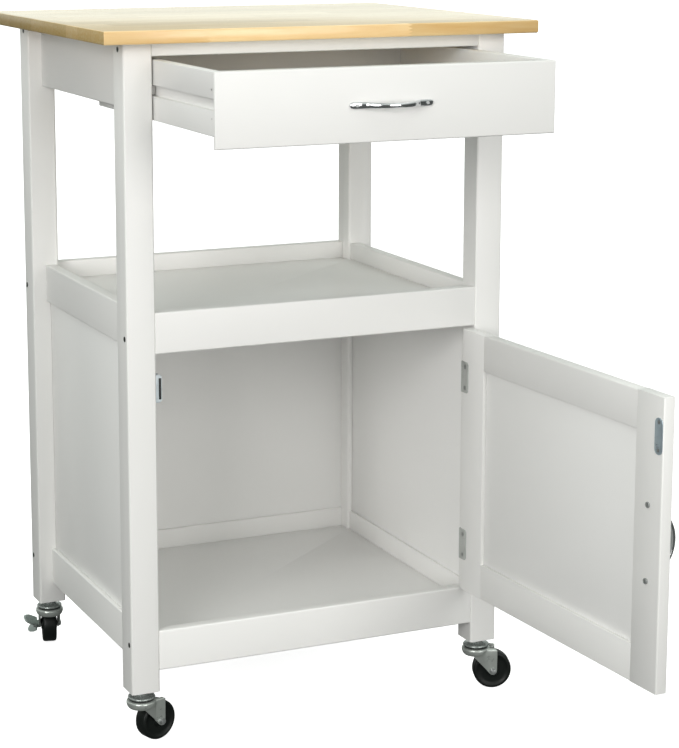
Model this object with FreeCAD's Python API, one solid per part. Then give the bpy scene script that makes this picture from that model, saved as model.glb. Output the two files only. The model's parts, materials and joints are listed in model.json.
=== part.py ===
"""Microwave cart: a painted frame of four posts with a wooden worktop, one drawer, an open tray
shelf, a cabinet with a framed door, and four swivel casters, two of them with a brake.

Millimetres. +Z is up, the front is -Y and the left side is -X. The origin is on the floor, in the
middle of the four posts. The stored pose has the drawer pulled out and the door swung open; both
are drawn closed and then moved, and each caster is drawn facing +X and then turned.
"""
import FreeCAD, Part
import math
import os

Vec = FreeCAD.Vector

# --- Frame -----------------------------------------------------------------------------------
frame_width = 501.0            # outside the posts, left to right
frame_depth = 414.0            # outside the posts, front to back
post_size = 36.0               # square posts
post_length = 790.0
post_ease = 1.6                # bevel on the long edges of the posts
board_ease = 1.2               # bevel on the long edges of rails, aprons and drawer boards
rail_thickness = 15.0
rail_height = 50.0
front_reveal = 1.0             # front and back rails sit this far behind the post faces
side_reveal = 18.0             # side rails and aprons sit this far inside the post faces
base_rail_lift = 27.0          # post foot to the underside of the base rails
shelf_rail_lift = 421.0        # post foot to the underside of the shelf rails
apron_height = 80.0
stretcher_height = 16.0        # flat stretchers under the worktop, front and back

# --- Worktop ---------------------------------------------------------------------------------
worktop_thickness = 16.0
worktop_side_overhang = 32.0
worktop_front_overhang = 28.0

# --- Panels held in grooves ------------------------------------------------------------------
panel_thickness = 5.0          # cabinet sides and back
panel_setback = 6.0            # outer face of a panel behind the outer face of its rails
shelf_thickness = 12.0
shelf_sink = 23.0              # top of the shelf rails to the tray surface
floor_thickness = 9.0
floor_sink = 27.0              # top of the base rails to the cabinet floor
tray_rebate = 2.0              # trays are thinned from above at their edges, for the grooves
groove_depth = 4.0
groove_play = 0.1              # each side of a panel in its groove
edge_play = 0.5                # panel edge to the bottom of its groove

# --- Drawer ----------------------------------------------------------------------------------
drawer_pull_out = 192.0        # how far it stands open in the stored pose
drawer_front_height = 85.0
drawer_front_thickness = 15.0
drawer_front_lip = 4.0         # face left in front of the side boards
drawer_side_height = 71.0
drawer_side_thickness = 12.0
drawer_length = 393.0
drawer_side_play = 2.0         # drawer side to post
drawer_top_play = 4.0          # drawer top to stretcher
drawer_bottom_thickness = 3.0
drawer_bottom_lift = 8.0       # lower edge of the sides to the bottom panel
drawer_bottom_tongue = 5.0
runner_height = 12.0
runner_engagement = 5.5        # how far the runner stands in the drawer's groove
runner_groove_depth = 6.0
runner_top_play = 0.2
runner_bottom_play = 0.8
runner_drop = 29.5             # top of the drawer side to the top of its runner groove
runner_front_setback = 12.0    # post face to the runner's front end
runner_screw_sink = 0.2        # screw head below the runner's face
nail_radius = 1.2
nail_length = 28.0
nail_setback = 9.0             # drawer face to the front nails
nail_spacing = 32.0

# --- Door ------------------------------------------------------------------------------------
door_open_angle = 93.0         # how far it stands open in the stored pose, degrees
door_thickness = 15.0
door_stile_width = 50.0
door_rail_width = 45.0
door_panel_thickness = 5.0
door_panel_tongue = 7.0
door_gap = 1.5                 # above and below the door
door_latch_gap = 2.0
door_hinge_gap = 3.0
door_edge_ease = 1.2

# --- Hinges: the door half wraps round the door's edge ---------------------------------------
hinge_height = 40.0
hinge_plate = 1.2
hinge_door_width = 15.0
hinge_post_width = 24.0
hinge_clip = 3.0               # clipped corners of the plates
hinge_inset = 61.0             # door end to the middle of a hinge
hinge_screw_spacing = 27.0
knuckle_radius = 2.8
knuckle_proud = 3.2            # pin centre in front of the door face
knuckle_gap = 0.3
hinge_pin_radius = 1.3
hinge_pin_play = 0.05

# --- Magnetic catch and its strike plate -----------------------------------------------------
strike_length = 42.0
strike_width = 14.0
strike_thickness = 1.0
strike_clip = 4.0              # clipped corners
strike_inset = 8.0             # free edge of the door to the middle of the plate
strike_drop = 44.7             # top of the door to the middle of the plate
strike_screw_spacing = 32.0
catch_height = 34.0
catch_reach = 13.5             # out from the post
catch_depth = 19.0
catch_round = 4.0
catch_gap = 0.3
magnet_length = 26.0
magnet_width = 3.0
magnet_depth = 11.0
catch_screw_bite = 6.0         # short screws: the side panel's groove lies behind them

# --- Bow handles -----------------------------------------------------------------------------
handle_spacing = 88.0          # between the two screws
handle_projection = 22.5
handle_foot_length = 16.0
handle_foot_thickness = 4.0
handle_foot_width = 8.0
handle_bar_width = 5.6
handle_bar_thickness = 5.0
handle_inset = 24.0            # free edge of the door to the handle's line

# --- Fasteners -------------------------------------------------------------------------------
bolt_radius = 2.5
bolt_length = 58.0
bolt_head_radius = 3.4
bolt_head_height = 1.6
bolt_head_proud = 0.3          # head above the post's face
shelf_bolt_lift = 20.0         # underside of the shelf rail to its bolt
base_bolt_lift = 35.0
screw_radius = 1.6
screw_head_radius = 2.9
screw_head_height = 1.4
handle_screw_radius = 2.0
handle_screw_head_radius = 3.4
handle_screw_grip = 5.0        # length inside the handle's foot

# --- Casters ---------------------------------------------------------------------------------
caster_height = 68.0           # floor to post foot
wheel_diameter = 50.0
wheel_width = 19.0
wheel_hub_radius = 8.0
wheel_hub_gap = 0.4            # hub to fork, each side
caster_trail = 21.0            # swivel axis to axle
fork_plate = 2.0
fork_inner_width = 23.0
fork_race_radius = 17.8
fork_race_height = 3.2
fork_top = 10.6                # post foot to the top of the fork
fork_tail = 5.6                # axle to the trailing edge of the fork
fork_boss_radius = 5.2
fork_bend = 3.0
cap_radius = 16.2
ball_ring_radius = 13.2
ball_ring_width = 2.6
ball_ring_height = 2.4
race_gap = 0.3
kingpin_radius = 4.0
rivet_radius = 6.5
rivet_height = 2.2
stem_radius = 5.0
stem_length = 32.0
axle_radius = 3.0
axle_play = 0.08
axle_head_radius = 4.2
axle_head_height = 2.2
nut_radius = 4.8
nut_height = 3.0
lever_width = 14.0
lever_plate = 1.8
lever_clip = 4.0               # clipped corners of the wings
lever_boss_radius = 5.5
lever_hub_height = 3.0         # spacer boss between fork and lever
lever_flat = 7.0               # axle to the bend of a wing
lever_long_wing = 22.0         # axle to the tip of the upper wing
lever_short_wing = 16.0
lever_wing_angle = 48.0        # how far the wings bend away from the wheel, degrees
lever_tilt = 12.0              # how far the lever leans from the upright, degrees
caster_headings = {            # direction from swivel axis to wheel in the stored pose, degrees
    "front_left": 18.0,
    "front_right": -20.0,
    "back_left": 76.0,
    "back_right": 60.0,
}

# --- Places worked out from the sizes above --------------------------------------------------
half_width = frame_width / 2
half_depth = frame_depth / 2
inner_x = half_width - post_size
inner_y = half_depth - post_size
post_foot = caster_height
post_top = post_foot + post_length
base_low = post_foot + base_rail_lift
base_high = base_low + rail_height
shelf_low = post_foot + shelf_rail_lift
shelf_high = shelf_low + rail_height
shelf_surface = shelf_high - shelf_sink
floor_surface = base_high - floor_sink
stretcher_low = post_top - stretcher_height
stretcher_depth = post_size - 2 * front_reveal
end_rail_outer = half_depth - front_reveal            # outer face of front and back rails
end_rail_inner = end_rail_outer - rail_thickness
side_rail_outer = half_width - side_reveal
side_rail_inner = side_rail_outer - rail_thickness
side_panel_outer = side_rail_outer - panel_setback
back_panel_outer = end_rail_outer - panel_setback
end_rail_middle = end_rail_outer - rail_thickness / 2
bolt_levels = (                                       # height, distance from the cart's middle
    (stretcher_low + stretcher_height / 2, end_rail_outer - stretcher_depth / 2),
    (shelf_low + shelf_bolt_lift, end_rail_middle),
    (base_low + base_bolt_lift, end_rail_middle),
)
corners = {
    "front_left": (-1, -1),
    "front_right": (1, -1),
    "back_left": (-1, 1),
    "back_right": (1, 1),
}
nodes = {}


# --- Shape helpers ---------------------------------------------------------------------------
def block(a, b):
    """Box between two opposite corners, given in any order."""
    low = [min(p, q) for p, q in zip(a, b)]
    high = [max(p, q) for p, q in zip(a, b)]
    return Part.makeBox(high[0] - low[0], high[1] - low[1], high[2] - low[2], Vec(*low))


def rod(start, direction, radius, length):
    return Part.makeCylinder(radius, length, Vec(*start), Vec(*direction))


def edges_along(shape, axis, shortest, wanted=lambda middle: True):
    """The straight edges that run along one axis and whose middle point is wanted."""
    picked = []
    for edge in shape.Edges:
        a, b = edge.Vertexes[0].Point, edge.Vertexes[-1].Point
        run = b - a
        along = abs(run[axis])
        if along > 0.99 * run.Length and along > shortest and wanted((a + b) / 2):
            picked.append(edge)
    return picked


def ease_edges(shape, axis, width, wanted=lambda middle: True):
    """Bevel a board's edges along one axis, as sanding does."""
    return shape.makeChamfer(width, edges_along(shape, axis, 2 * width, wanted))


def round_edges(shape, axis, radius, wanted=lambda middle: True):
    return shape.makeFillet(radius, edges_along(shape, axis, 2 * radius, wanted))


def prism(start, direction, radius, length, sides):
    """Straight bar with a regular outline of flat sides, from start along direction."""
    along = Vec(*direction)
    along.normalize()
    across = along.cross(Vec(0, 0, 1)) if abs(along.z) < 0.9 else Vec(1, 0, 0)
    up = along.cross(across)
    points = [Vec(*start) + (across * math.cos(2 * math.pi * i / sides)
                             + up * math.sin(2 * math.pi * i / sides)) * radius for i in range(sides)]
    return Part.Face(Part.makePolygon(points + points[:1])).extrude(along * length)


def screw(start, direction, radius, length, head_radius, head_height):
    """Plain fastener: the head stands outside the start point, the shank runs along direction."""
    back = [-step for step in direction]
    head = prism(start, back, head_radius, head_height, 8)
    return prism(start, direction, radius, length, 6).fuse(head).removeSplitter()


def small_screw(start, direction, length):
    return screw(start, direction, screw_radius, length, screw_head_radius, screw_head_height)


def together(solids):
    """Separate solids kept side by side in one node."""
    return Part.makeCompound(solids)


# --- Posts -----------------------------------------------------------------------------------
def post(sx, sy):
    """Square post with grooves for the panels that end in it."""
    body = block((sx * half_width, sy * half_depth, post_foot), (sx * inner_x, sy * inner_y, post_top))
    body = ease_edges(body, 2, post_ease)
    groove_low, groove_high = base_high - groove_depth, shelf_low + groove_depth
    cuts = [block((sx * (side_panel_outer + groove_play), sy * inner_y, groove_low),
                  (sx * (side_panel_outer - panel_thickness - groove_play),
                   sy * (inner_y + groove_depth), groove_high))]
    if sy > 0:
        cuts.append(block((sx * inner_x, back_panel_outer + groove_play, groove_low),
                          (sx * (inner_x + groove_depth),
                           back_panel_outer - panel_thickness - groove_play, groove_high)))
    return body.cut(cuts)


for corner, (sx, sy) in corners.items():
    nodes["post_" + corner] = post(sx, sy)

nodes["frame_bolts"] = together([
    screw((sx * (half_width + bolt_head_proud - bolt_head_height), sy * y, height), (-sx, 0, 0),
          bolt_radius, bolt_length, bolt_head_radius, bolt_head_height)
    for sx, sy in corners.values() for height, y in bolt_levels])


# --- Rails, aprons and stretchers ------------------------------------------------------------
def end_rail(sy, low, surface, thickness, panel_below, panel_above):
    """Front or back rail, grooved inside for its tray and above or below for the back panel."""
    body = block((-inner_x, sy * end_rail_outer, low), (inner_x, sy * end_rail_inner, low + rail_height))
    body = ease_edges(body, 0, board_ease)
    cuts = [block((-inner_x, sy * end_rail_inner, surface - tray_rebate + groove_play),
                  (inner_x, sy * (end_rail_inner + groove_depth), surface - thickness))]
    if sy > 0:
        y0, y1 = back_panel_outer + groove_play, back_panel_outer - panel_thickness - groove_play
        if panel_below:
            cuts.append(block((-inner_x, y0, low), (inner_x, y1, low + groove_depth)))
        if panel_above:
            cuts.append(block((-inner_x, y0, low + rail_height),
                              (inner_x, y1, low + rail_height - groove_depth)))
    return body.cut(cuts)


def side_rail(sx, low, surface, thickness, panel_above):
    """Side rail between the posts, grooved inside for its tray and above or below for the panel."""
    body = block((sx * side_rail_outer, -inner_y, low), (sx * side_rail_inner, inner_y, low + rail_height))
    body = ease_edges(body, 1, board_ease)
    edge = low + rail_height if panel_above else low
    inward = -groove_depth if panel_above else groove_depth
    return body.cut([
        block((sx * side_rail_inner, -inner_y, surface - tray_rebate + groove_play),
              (sx * (side_rail_inner + groove_depth), inner_y, surface - thickness)),
        block((sx * (side_panel_outer + groove_play), -inner_y, edge),
              (sx * (side_panel_outer - panel_thickness - groove_play), inner_y, edge + inward))])


for name, sy in (("front", -1), ("back", 1)):
    nodes["shelf_rail_" + name] = end_rail(sy, shelf_low, shelf_surface, shelf_thickness, True, False)
    nodes["base_rail_" + name] = end_rail(sy, base_low, floor_surface, floor_thickness, False, True)
for name, sx in (("left", -1), ("right", 1)):
    nodes["shelf_rail_" + name] = side_rail(sx, shelf_low, shelf_surface, shelf_thickness, False)
    nodes["base_rail_" + name] = side_rail(sx, base_low, floor_surface, floor_thickness, True)
    nodes["apron_" + name] = ease_edges(
        block((sx * side_rail_outer, -inner_y, post_top - apron_height),
              (sx * side_rail_inner, inner_y, post_top)), 1, board_ease)

worktop_screw_places = [(x, sy * (end_rail_outer - stretcher_depth / 2))
                        for sy in (-1, 1) for x in (-inner_x * 0.6, inner_x * 0.6)]
worktop_screw_length = stretcher_height + worktop_thickness * 0.6


def stretcher(sy):
    """Flat stretcher under the worktop, bolted at both ends."""
    body = block((-inner_x, sy * end_rail_outer, stretcher_low),
                 (inner_x, sy * (end_rail_outer - stretcher_depth), post_top))
    return ease_edges(body, 0, board_ease)


nodes["top_stretcher_front"] = stretcher(-1)
nodes["top_stretcher_back"] = stretcher(1)

# --- Worktop ---------------------------------------------------------------------------------
worktop = block((-half_width - worktop_side_overhang, -half_depth - worktop_front_overhang, post_top),
                (half_width + worktop_side_overhang, half_depth + worktop_front_overhang,
                 post_top + worktop_thickness))
nodes["worktop"] = worktop.makeChamfer(board_ease, [e for e in worktop.Edges if e.BoundBox.ZLength < 0.1])
cabinet_screws = [small_screw((x, y, stretcher_low), (0, 0, 1), worktop_screw_length)
                  for x, y in worktop_screw_places]


# --- Tray shelf, cabinet floor and panels ----------------------------------------------------
def tray(surface, thickness):
    """Board with thinned edges in the grooves of four rails, notched to pass the posts."""
    x, y = side_rail_inner + groove_depth - edge_play, end_rail_inner + groove_depth - edge_play
    body = block((-x, -y, surface - thickness), (x, y, surface - tray_rebate))
    body = body.fuse(block((edge_play - side_rail_inner, edge_play - end_rail_inner, surface - tray_rebate),
                           (side_rail_inner - edge_play, end_rail_inner - edge_play, surface)))
    notches = [block((sx * (inner_x - edge_play), sy * (inner_y - edge_play), surface),
                     (sx * (x + 1), sy * (y + 1), surface - thickness)) for sx, sy in corners.values()]
    return body.cut(notches)


nodes["shelf_panel"] = tray(shelf_surface, shelf_thickness)
nodes["floor_panel"] = tray(floor_surface, floor_thickness)
panel_low, panel_high = base_high - groove_depth, shelf_low + groove_depth - edge_play
panel_half_depth = inner_y + groove_depth - edge_play
for name, sx in (("left", -1), ("right", 1)):
    nodes["side_panel_" + name] = block(
        (sx * side_panel_outer, -panel_half_depth, panel_low),
        (sx * (side_panel_outer - panel_thickness), panel_half_depth, panel_high))
panel_half_width = inner_x + groove_depth - edge_play
nodes["back_panel"] = block((-panel_half_width, back_panel_outer, panel_low),
                            (panel_half_width, back_panel_outer - panel_thickness, panel_high))


# --- Bow handle ------------------------------------------------------------------------------
def bow_handle():
    """Arched bar on two flat feet, drawn along X and standing out towards -Y.

    The bow is drawn from the side and cut to its waisted outline from the front.
    """
    foot_end = (handle_spacing + handle_foot_length) / 2
    foot_start = (handle_spacing - handle_foot_length) / 2
    inner_rise = handle_projection - handle_bar_thickness

    def arc(end, end_depth, top_depth):
        return Part.Arc(Vec(-end, -end_depth, 0), Vec(0, -top_depth, 0), Vec(end, -end_depth, 0)).toShape()

    ends = [(foot_start, handle_foot_thickness), (foot_end, handle_foot_thickness * 0.6), (foot_end, 0),
            (foot_start - handle_bar_thickness, 0)]
    edges = [arc(*ends[0], handle_projection), arc(*ends[-1], inner_rise)]
    for sx in (-1, 1):
        points = [Vec(sx * x, -depth, 0) for x, depth in ends]
        edges += [Part.LineSegment(a, b).toShape() for a, b in zip(points, points[1:])]
    side = Part.Face(Part.Wire(Part.__sortEdges__(edges))).extrude(Vec(0, 0, handle_foot_width))
    side.translate(Vec(0, 0, -handle_foot_width / 2))
    for sz in (-1, 1):
        edge, waist = sz * handle_foot_width / 2, sz * handle_bar_width / 2
        bend = Part.Arc(Vec(-foot_start, 0, edge), Vec(0, 0, waist), Vec(foot_start, 0, edge)).toShape()
        chord = Part.LineSegment(Vec(foot_start, 0, edge), Vec(-foot_start, 0, edge)).toShape()
        side = side.cut(Part.Face(Part.Wire([bend, chord])).extrude(Vec(0, -handle_projection - 1, 0)))
    return side


def handle_screws(thickness):
    """The two screws that come through a board of this thickness from behind."""
    return [screw((sx * handle_spacing / 2, thickness, 0), (0, -1, 0), handle_screw_radius,
                  thickness + handle_screw_grip, handle_screw_head_radius, screw_head_height * 1.5)
            for sx in (-1, 1)]


def moved(shape, x=0, y=0, z=0):
    copy = shape.copy()
    copy.translate(Vec(x, y, z))
    return copy


def turned(shape, centre, axis, angle):
    copy = shape.copy()
    copy.rotate(Vec(*centre), Vec(*axis), angle)
    return copy


# --- Drawer, drawn closed --------------------------------------------------------------------
drawer = {}
drawer_half_width = inner_x - drawer_side_play
drawer_top = stretcher_low - drawer_top_play
drawer_face = -end_rail_outer
drawer_back_end = drawer_face + drawer_length
side_low = drawer_top - drawer_side_height
side_inner = drawer_half_width - drawer_side_thickness
bottom_low = side_low + drawer_bottom_lift
bottom_high = bottom_low + drawer_bottom_thickness
groove_top = drawer_top - runner_drop
groove_bottom = groove_top - runner_top_play - runner_height - runner_bottom_play
drawer_middle = drawer_top - drawer_front_height / 2
nail_heights = [drawer_top - drawer_side_height / 2 + s * nail_spacing / 2 for s in (-1, 1)]
nail_rows = (drawer_face + nail_setback, drawer_back_end - drawer_side_thickness / 2)

front = block((-drawer_half_width, drawer_face, drawer_top - drawer_front_height),
              (drawer_half_width, drawer_face + drawer_front_thickness, drawer_top))
face_edges = [e for e in front.Edges if abs(e.BoundBox.Center.y - drawer_face) < 1e-6]
front = front.makeChamfer(board_ease, face_edges)
cuts = []
for sx in (-1, 1):
    cuts.append(block((sx * drawer_half_width, drawer_face + drawer_front_lip,
                       drawer_top - drawer_front_height),
                      (sx * side_inner, drawer_face + drawer_front_thickness, drawer_top)))
cuts.append(block((-side_inner, drawer_face + drawer_front_thickness - drawer_bottom_tongue, bottom_low),
                  (side_inner, drawer_face + drawer_front_thickness, bottom_high + groove_play)))
drawer["drawer_front"] = front.cut(cuts)

for name, sx in (("left", -1), ("right", 1)):
    side = block((sx * drawer_half_width, drawer_face + drawer_front_lip, side_low),
                 (sx * side_inner, drawer_back_end, drawer_top))
    side = ease_edges(side, 1, board_ease * 0.6)
    cuts = [block((sx * drawer_half_width, drawer_face, groove_bottom),
                  (sx * (drawer_half_width - runner_groove_depth), drawer_back_end, groove_top)),
            block((sx * side_inner, drawer_face, bottom_low),
                  (sx * (side_inner + drawer_bottom_tongue), drawer_back_end, bottom_high + groove_play))]
    drawer["drawer_side_" + name] = side.cut(cuts)

back = block((-side_inner, drawer_back_end - drawer_side_thickness, bottom_high + groove_play),
             (side_inner, drawer_back_end, drawer_top))
back = ease_edges(back, 0, board_ease * 0.6, lambda p: p.z > drawer_top - 1)
drawer["drawer_back"] = back
drawer["drawer_bottom"] = block(
    (-side_inner - drawer_bottom_tongue + edge_play,
     drawer_face + drawer_front_thickness - drawer_bottom_tongue + edge_play, bottom_low),
    (side_inner + drawer_bottom_tongue - edge_play, drawer_back_end, bottom_high))
drawer["drawer_handle"] = moved(bow_handle(), y=drawer_face, z=drawer_middle)
nails = [prism((sx * drawer_half_width, y, z), (-sx, 0, 0), nail_radius, nail_length, 6)
         for sx in (-1, 1) for y in nail_rows for z in nail_heights]
drawer["drawer_screws"] = together(
    nails + [moved(s, y=drawer_face, z=drawer_middle) for s in handle_screws(drawer_front_thickness)])
for name, shape in drawer.items():
    nodes[name] = moved(shape, y=-drawer_pull_out)


# --- Drawer runners --------------------------------------------------------------------------
def runner(sx):
    """Hardwood strip screwed to the two posts of one side; the drawer's groove rides on it."""
    reach = drawer_side_play + runner_engagement
    top = groove_top - runner_top_play
    middle = top - runner_height / 2
    low_y, high_y = -half_depth + runner_front_setback, half_depth - runner_front_setback
    body = block((sx * inner_x, low_y, top - runner_height), (sx * (inner_x - reach), high_y, top))
    body = ease_edges(body, 1, 0.8, lambda p: abs(p.x) < inner_x - reach + 0.1)
    flush = inner_x - reach + screw_head_height + runner_screw_sink
    screws = [small_screw((sx * flush, sy * (half_depth - post_size / 2), middle), (sx, 0, 0),
                          post_size * 0.6) for sy in (-1, 1)]
    return body, screws


runner_parts = [runner(sx) for sx in (-1, 1)]
nodes["drawer_runners"] = together([body for body, _ in runner_parts])
for _, screws in runner_parts:
    cabinet_screws += screws

# --- Door, drawn closed ----------------------------------------------------------------------
door = {}
door_face = -end_rail_outer
door_inner = door_face + door_thickness
door_low, door_high = base_high + door_gap, shelf_low - door_gap
hinge_edge = inner_x - door_hinge_gap
free_edge = -inner_x + door_latch_gap
pin_x, pin_y = inner_x - door_hinge_gap / 2, door_face - knuckle_proud
hinge_middles = (door_low + hinge_inset, door_high - hinge_inset)
hinge_screw_x = hinge_edge - hinge_door_width / 2
hinge_screw_heights = [z + s * hinge_screw_spacing / 2 for z in hinge_middles for s in (-1, 1)]
strike_x, strike_z = free_edge + strike_inset, door_high - strike_drop
handle_x, handle_z = free_edge + handle_inset, (door_low + door_high) / 2
panel_front = door_face + (door_thickness - door_panel_thickness) / 2
rail_ends = (free_edge + door_stile_width, hinge_edge - door_stile_width)
door_screw_length = door_thickness * 0.7


def panel_slot(x0, x1, z0, z1):
    """Slot in a door member for the edge of the panel."""
    return block((x0, panel_front - groove_play, z0),
                 (x1, panel_front + door_panel_thickness + groove_play, z1))


def stile(outer_x, inner_x_side):
    body = block((outer_x, door_face, door_low), (inner_x_side, door_inner, door_high))
    body = ease_edges(body, 2, door_edge_ease, lambda p: abs(p.x - outer_x) < 0.1)
    inward = math.copysign(1, outer_x - inner_x_side)
    return body.cut(panel_slot(inner_x_side, inner_x_side + inward * (door_panel_tongue + edge_play),
                               door_low + door_rail_width - door_panel_tongue - edge_play,
                               door_high - door_rail_width + door_panel_tongue + edge_play))


def door_rail(outer_z, inner_z):
    body = block((rail_ends[0], door_face, outer_z), (rail_ends[1], door_inner, inner_z))
    body = ease_edges(body, 0, door_edge_ease, lambda p: abs(p.z - outer_z) < 0.1)
    inward = math.copysign(1, outer_z - inner_z)
    return body.cut(panel_slot(rail_ends[0], rail_ends[1], inner_z,
                               inner_z + inward * (door_panel_tongue + (edge_play if inward > 0 else 0))))


door["door_stile_hinge"] = stile(hinge_edge, rail_ends[1])
strike_screw_heights = [strike_z + s * strike_screw_spacing / 2 for s in (-1, 1)]
door["door_stile_free"] = stile(free_edge, rail_ends[0])
door["door_rail_top"] = door_rail(door_high, door_high - door_rail_width)
door["door_rail_bottom"] = door_rail(door_low, door_low + door_rail_width)
door["door_panel"] = block(
    (rail_ends[0] - door_panel_tongue, panel_front, door_low + door_rail_width - door_panel_tongue),
    (rail_ends[1] + door_panel_tongue, panel_front + door_panel_thickness,
     door_high - door_rail_width + door_panel_tongue))


# --- Hinges ----------------------------------------------------------------------------------
def clip_corners(plate, thin_axis, wanted):
    """Clip the corners of a plate that is thin along one axis."""
    edges = edges_along(plate, thin_axis, 0, wanted)
    return plate.makeChamfer(hinge_clip, edges)


def hinge_halves(middle):
    """One hinge: a door half that wraps the door's edge, and a flat post half with the pin."""
    low, high = middle - hinge_height / 2, middle + hinge_height / 2
    third = hinge_height / 3
    door_low_z, door_high_z = low + third + knuckle_gap, high - third - knuckle_gap
    knuckle_rear = pin_y + knuckle_radius + 2 * knuckle_gap
    pin = rod((pin_x, pin_y, low), (0, 0, 1), hinge_pin_radius, hinge_height)
    bore = rod((pin_x, pin_y, low), (0, 0, 1), hinge_pin_radius + hinge_pin_play, hinge_height)
    face = block((hinge_edge - hinge_door_width, door_inner, low),
                 (hinge_edge + hinge_plate, door_inner + hinge_plate, high))
    face = clip_corners(face, 1, lambda p: p.x < hinge_edge - 1)
    wrap = block((hinge_edge, knuckle_rear, low), (hinge_edge + hinge_plate, door_inner, high))
    web = block((hinge_edge, pin_y, door_low_z), (hinge_edge + hinge_plate, knuckle_rear, door_high_z))
    barrel = prism((pin_x, pin_y, door_low_z), (0, 0, 1), knuckle_radius, door_high_z - door_low_z, 12)
    door_half = face.fuse([wrap, web, barrel]).cut(bore).removeSplitter()
    leaf = block((inner_x - hinge_plate, knuckle_rear, low),
                 (inner_x, knuckle_rear + hinge_post_width, high))
    leaf = clip_corners(leaf, 0, lambda p: p.y > knuckle_rear + 1)
    knuckles = [pin]
    for z0, z1 in ((low, low + third), (high - third, high)):
        knuckles.append(block((inner_x - hinge_plate, pin_y, z0), (inner_x, knuckle_rear, z1)))
        knuckles.append(prism((pin_x, pin_y, z0), (0, 0, 1), knuckle_radius, z1 - z0, 12))
    return door_half, leaf.fuse(knuckles).removeSplitter()


hinge_post_screw_y = door_inner + hinge_plate
post_screw_depth = post_size * 0.4
hinges = [hinge_halves(z) for z in hinge_middles]
door["hinge_door_halves"] = together([door_half for door_half, _ in hinges])
nodes["hinge_post_halves"] = together([post_half for _, post_half in hinges])
for z in hinge_screw_heights:
    cabinet_screws.append(small_screw((inner_x - hinge_plate + screw_head_height, hinge_post_screw_y, z),
                                      (1, 0, 0), post_screw_depth))

# --- Strike plate and magnetic catch ---------------------------------------------------------
strike = block((strike_x - strike_width / 2, door_inner, strike_z - strike_length / 2),
               (strike_x + strike_width / 2, door_inner + strike_thickness, strike_z + strike_length / 2))
door["strike_plate"] = strike.makeChamfer(strike_clip, edges_along(strike, 1, 0))

catch_front = door_inner + strike_thickness + catch_gap
catch_back = catch_front + catch_depth
catch = block((-inner_x, catch_front, strike_z - catch_height / 2),
              (-inner_x + catch_reach, catch_back, strike_z + catch_height / 2))
catch = round_edges(catch, 1, catch_round, lambda p: p.x > -inner_x + 1)
magnet_x = strike_x + 1
magnet = block((magnet_x - magnet_width / 2, catch_front, strike_z - magnet_length / 2),
               (magnet_x + magnet_width / 2, catch_front + magnet_depth, strike_z + magnet_length / 2))
catch_screw_y = catch_back - screw_head_radius - 1
catch_screw_heights = [strike_z + s * catch_height / 4 for s in (-1, 1)]
nodes["catch_housing"] = catch.cut(magnet)
nodes["catch_magnet"] = magnet
for z in catch_screw_heights:
    cabinet_screws.append(small_screw((-inner_x + catch_reach, catch_screw_y, z), (-1, 0, 0),
                                      catch_reach + catch_screw_bite))
nodes["cabinet_screws"] = together(cabinet_screws)

# --- Door fittings and opening ---------------------------------------------------------------
upright = turned(bow_handle(), (0, 0, 0), (0, 1, 0), 90)
door["door_handle"] = moved(upright, handle_x, door_face, handle_z)
door_screws = [small_screw((hinge_screw_x, door_inner + hinge_plate - screw_head_height, z), (0, -1, 0),
                           door_screw_length) for z in hinge_screw_heights]
door_screws += [small_screw((strike_x, door_inner + strike_thickness - screw_head_height, z), (0, -1, 0),
                            door_screw_length) for z in strike_screw_heights]
door_screws += [moved(turned(s, (0, 0, 0), (0, 1, 0), 90), handle_x, door_face, handle_z)
                for s in handle_screws(door_thickness)]
door["door_screws"] = together(door_screws)
for name, shape in door.items():
    nodes[name] = turned(shape, (pin_x, pin_y, 0), (0, 0, 1), door_open_angle)


# --- Casters, drawn with the swivel axis at the origin, the post foot at Z 0, trailing to +X ---
axle_drop = caster_height - wheel_diameter / 2
fork_half = fork_inner_width / 2 + fork_plate
race_low = fork_top + fork_race_height


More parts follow.
